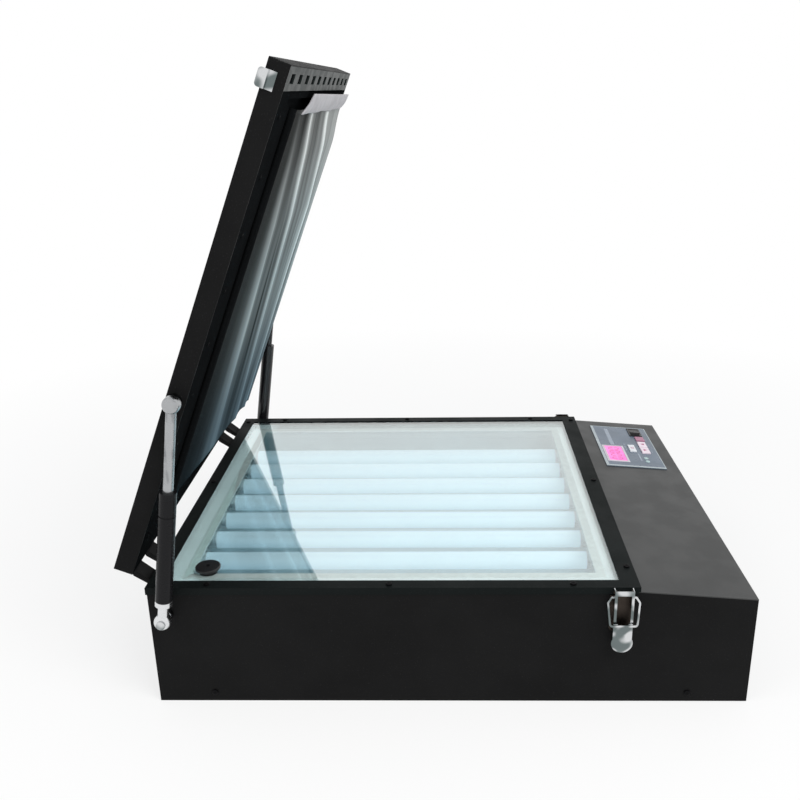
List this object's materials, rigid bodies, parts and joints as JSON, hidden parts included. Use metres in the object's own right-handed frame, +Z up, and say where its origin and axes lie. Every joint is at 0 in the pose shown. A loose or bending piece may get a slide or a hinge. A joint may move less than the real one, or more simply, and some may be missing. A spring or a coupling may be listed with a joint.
{
  "type": "screen_printing_exposure_unit",
  "caption": "Benchtop UV vacuum exposure unit: black steel light box with tubes under glass, hinged vacuum lid on gas struts, latches and a control box",
  "frame": {"origin": "centre of the cabinet's bottom face, on the surface it stands on", "axes": "+X from the lid's hinges to the control box, +Y from the near long side to the far one, +Z up; the lid is open at rest"},
  "size_m": [0.8369, 0.6856, 0.824],
  "materials": {
    "body_black": "matt powder coat",
    "cover_black": "satin powder coat",
    "trim_black": "matt powder coat",
    "band_grey": "satin grey-green coat",
    "pale_coat": "semi-gloss white paint",
    "seal_foam": "soft closed-cell foam",
    "clear_glass": "clear float glass with a green edge",
    "lamp_glass": "white phosphor coated tube",
    "bare_aluminium": "drawn",
    "white_plastic": "moulded",
    "zinc_steel": "zinc plated",
    "black_screws": "black oxide",
    "black_plastic": "moulded",
    "hose_pvc": "flexible tube",
    "pump_metal": "painted casting",
    "panel_film": "printed membrane",
    "display_red": "tinted window",
    "button_white": "moulded",
    "button_pink": "moulded",
    "button_red": "moulded",
    "board_green": "solder resist",
    "chrome": "bright plating",
    "strut_silver": "satin chromed",
    "strut_black": "gloss black",
    "blanket_rubber": "thin matt rubber sheet"
  },
  "bodies": {
    "cabinet": {"ballasts": "zinc_steel", "bottom_tray": "body_black", "cabinet_screws": "black_screws", "cabinet_shell": "body_black", "control_cover": "cover_black", "control_panel": "panel_film", "controller_board": "board_green", "exposure_glass": "clear_glass", "fan_guard": "chrome", "fan_housing": "black_plastic", "glass_ledge": "pale_coat", "glass_seal_tape": "seal_foam", "glass_spacer": "trim_black", "glass_trim": "trim_black", "hinge_brackets": "body_black", "hinge_pins": "zinc_steel", "hose_clips": "black_plastic", "lamp_caps": "bare_aluminium", "lamp_tube_1": "lamp_glass", "lamp_tube_2": "lamp_glass", "lamp_tube_3": "lamp_glass", "lamp_tube_4": "lamp_glass", "lamp_tube_5": "lamp_glass", "lamp_tube_6": "lamp_glass", "lamp_tube_7": "lamp_glass", "lamp_tube_8": "lamp_glass", "lampholders": "white_plastic", "latch_plates": "chrome", "panel_display": "display_red", "partition_wall": "body_black", "power_inlet": "black_plastic", "power_switch_frame": "black_plastic", "reflector_tray": "pale_coat", "strut_base_studs": "zinc_steel", "vacuum_hose": "hose_pvc", "vacuum_port": "black_plastic", "vacuum_pump": "pump_metal"},
    "lid": {"lid_shell": "body_black", "lid_inner_frame": "trim_black", "clamp_strips": "trim_black", "clamp_screws": "black_screws", "lid_end_band": "band_grey", "vacuum_blanket": "blanket_rubber", "catch_plates": "chrome", "lid_strut_studs": "zinc_steel", "lid_hinge_leaves": "chrome"},
    "near_strut_cylinder": {"strut_cylinder_near": "strut_black"},
    "near_strut_rod": {"strut_rod_near": "strut_silver"},
    "far_strut_cylinder": {"strut_cylinder_far": "strut_black"},
    "far_strut_rod": {"strut_rod_far": "strut_black"},
    "near_lever": {"latch_lever_near": "chrome"},
    "near_bail": {"latch_bail_near": "chrome"},
    "far_lever": {"latch_lever_far": "chrome"},
    "far_bail": {"latch_bail_far": "chrome"},
    "start_button": {"button_start": "button_white"},
    "up_button": {"button_up": "button_pink"},
    "down_button": {"button_down": "button_pink"},
    "vacuum_button": {"button_vacuum": "button_red"},
    "mains_rocker": {"power_rocker": "black_plastic"},
    "cooling_rotor": {"fan_rotor": "black_plastic"}
  },
  "joints": [
    {"name": "lid_hinge", "type": "hinge", "parent": "cabinet", "child": "lid", "pos_m": [-0.427, 0, 0.1935], "axis": [0, 1, 0], "range_deg": [0, 68.1], "deforming": ["vacuum_blanket"]},
    {"name": "near_strut_pivot", "type": "hinge", "parent": "cabinet", "child": "near_strut_cylinder", "pos_m": [-0.375, -0.331, 0.138], "axis": [0, 1, 0], "range_deg": [0, 66.38]},
    {"name": "near_strut_slide", "type": "slide", "parent": "near_strut_cylinder", "child": "near_strut_rod", "axis": [0.1459, 0, 0.9893], "range_m": [-0.08482, 0]},
    {"name": "far_strut_pivot", "type": "hinge", "parent": "cabinet", "child": "far_strut_cylinder", "pos_m": [-0.375, 0.331, 0.138], "axis": [0, 1, 0], "range_deg": [0, 66.38]},
    {"name": "far_strut_slide", "type": "slide", "parent": "far_strut_cylinder", "child": "far_strut_rod", "axis": [0.1459, 0, 0.9893], "range_m": [-0.08482, 0]},
    {"name": "near_lever_hinge", "type": "hinge", "parent": "cabinet", "child": "near_lever", "pos_m": [0.224, -0.322, 0.174], "axis": [-1, 0, 0], "range_deg": [0, 150]},
    {"name": "near_bail_hinge", "type": "hinge", "parent": "near_lever", "child": "near_bail", "pos_m": [0.224, -0.322, 0.167], "axis": [1, 0, 0], "range_deg": [-172, 0]},
    {"name": "far_lever_hinge", "type": "hinge", "parent": "cabinet", "child": "far_lever", "pos_m": [0.224, 0.322, 0.174], "axis": [1, 0, 0], "range_deg": [0, 150]},
    {"name": "far_bail_hinge", "type": "hinge", "parent": "far_lever", "child": "far_bail", "pos_m": [0.224, 0.322, 0.167], "axis": [-1, 0, 0], "range_deg": [-172, 0]},
    {"name": "start_press", "type": "slide", "parent": "cabinet", "child": "start_button", "axis": [-0.0782, 0, -0.9969], "range_m": [0, 0.0012], "stiffness_N_per_m": 400},
    {"name": "up_press", "type": "slide", "parent": "cabinet", "child": "up_button", "axis": [-0.0782, 0, -0.9969], "range_m": [0, 0.0012], "stiffness_N_per_m": 400},
    {"name": "down_press", "type": "slide", "parent": "cabinet", "child": "down_button", "axis": [-0.0782, 0, -0.9969], "range_m": [0, 0.0012], "stiffness_N_per_m": 400},
    {"name": "vacuum_press", "type": "slide", "parent": "cabinet", "child": "vacuum_button", "axis": [-0.0782, 0, -0.9969], "range_m": [0, 0.0012], "stiffness_N_per_m": 400},
    {"name": "mains_rocker_tilt", "type": "hinge", "parent": "cabinet", "child": "mains_rocker", "pos_m": [0.3534, 0.261, 0.15844], "axis": [0.9969, 0, -0.0782], "range_deg": [0, 20]},
    {"name": "cooling_rotor_spin", "type": "hinge", "parent": "cabinet", "child": "cooling_rotor", "pos_m": [0.302, 0.2995, 0.078], "axis": [0, 1, 0], "continuous": true}
  ],
  "couplings": [
    {"joint": "near_strut_pivot", "follows": "lid_hinge", "ratio": 0.97466},
    {"joint": "near_strut_slide", "follows": "lid_hinge", "m_per_rad": -0.071359},
    {"joint": "far_strut_pivot", "follows": "lid_hinge", "ratio": 0.97466},
    {"joint": "far_strut_slide", "follows": "lid_hinge", "m_per_rad": -0.071359}
  ]
}
